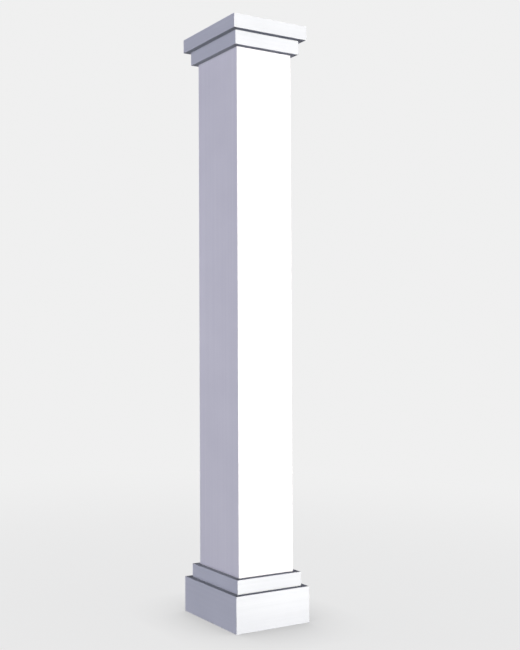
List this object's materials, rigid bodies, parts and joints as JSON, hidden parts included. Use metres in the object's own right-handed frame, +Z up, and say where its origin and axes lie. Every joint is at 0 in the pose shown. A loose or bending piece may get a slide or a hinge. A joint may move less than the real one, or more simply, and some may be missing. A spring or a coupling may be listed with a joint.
{
  "type": "pvc column",
  "caption": "Square hollow porch column of cellular PVC boards with a plain mitred shaft, a stepped plinth base and a stepped cap.",
  "frame": {"origin": "middle of the underside, on the column's axis", "axes": "+Z up along the column; +X and +Y square to its faces, with the front at -Y"},
  "size_m": [0.4076, 0.4076, 2.7432],
  "materials": {
    "shaft_pvc": "calendered cellular PVC sheet, white, satin-matt",
    "trim_pvc": "milled cellular PVC trim board, slightly cooler white, matt"
  },
  "bodies": {
    "root": {"shaft_panel_front": "shaft_pvc", "shaft_panel_right": "shaft_pvc", "shaft_panel_back": "shaft_pvc", "shaft_panel_left": "shaft_pvc", "base_ring_board_front": "trim_pvc", "base_ring_board_right": "trim_pvc", "base_ring_board_back": "trim_pvc", "base_ring_board_left": "trim_pvc", "base_plinth_board_front": "trim_pvc", "base_plinth_board_right": "trim_pvc", "base_plinth_board_back": "trim_pvc", "base_plinth_board_left": "trim_pvc", "cap_neck_board_front": "trim_pvc", "cap_neck_board_right": "trim_pvc", "cap_neck_board_back": "trim_pvc", "cap_neck_board_left": "trim_pvc", "cap_crown_board_front": "trim_pvc", "cap_crown_board_right": "trim_pvc", "cap_crown_board_back": "trim_pvc", "cap_crown_board_left": "trim_pvc"}
  },
  "joints": []
}
